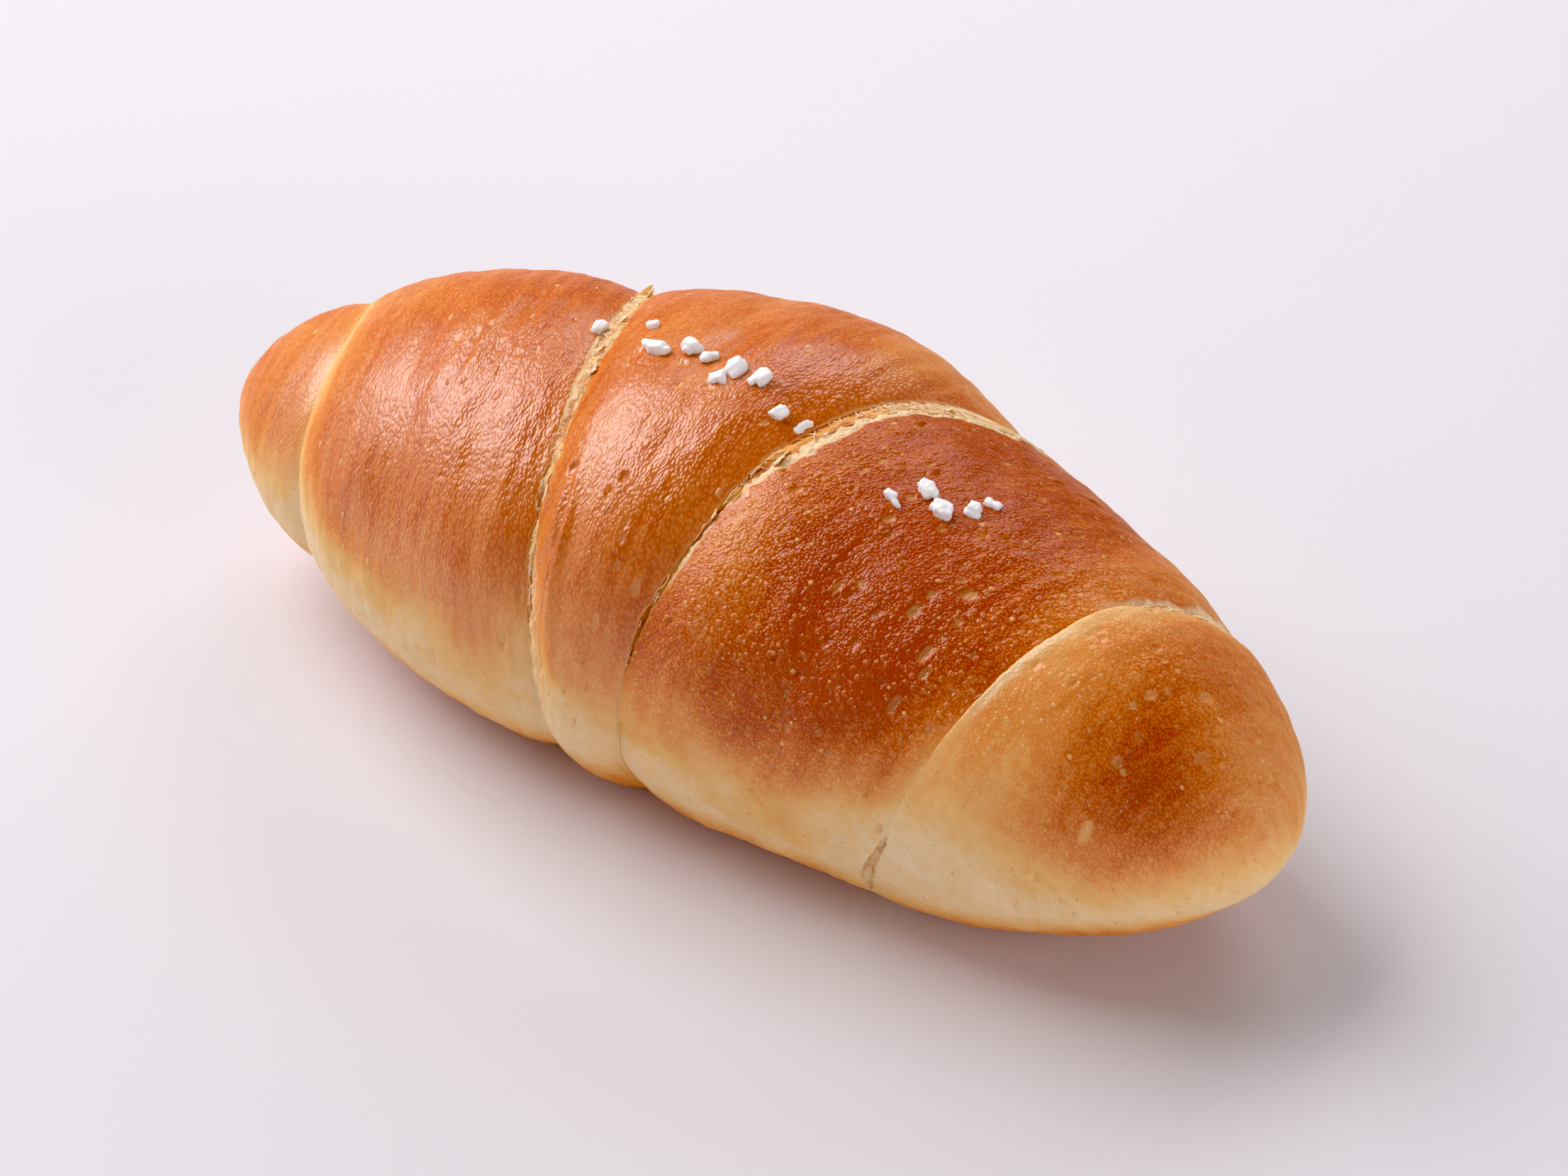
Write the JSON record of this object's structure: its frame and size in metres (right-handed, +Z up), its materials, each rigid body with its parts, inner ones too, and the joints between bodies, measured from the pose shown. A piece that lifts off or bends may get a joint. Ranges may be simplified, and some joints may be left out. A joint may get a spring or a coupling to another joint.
{
  "type": "salt bread roll",
  "caption": "Spindle-shaped wound bread roll with swollen lobes between spiral seams, a golden brown crust, pale sides and coarse salt along its crest.",
  "frame": {"origin": "on the table under the middle of the roll's bounding box", "axes": "+X along the roll towards the end that is nearer in the picture, +Y towards the back, +Z up"},
  "size_m": [0.14, 0.0606, 0.0525],
  "materials": {
    "crust": "soft sheen, baked golden brown, pale cream low on the sides"
  },
  "bodies": {
    "root": {"bread_roll": "crust"}
  },
  "joints": []
}
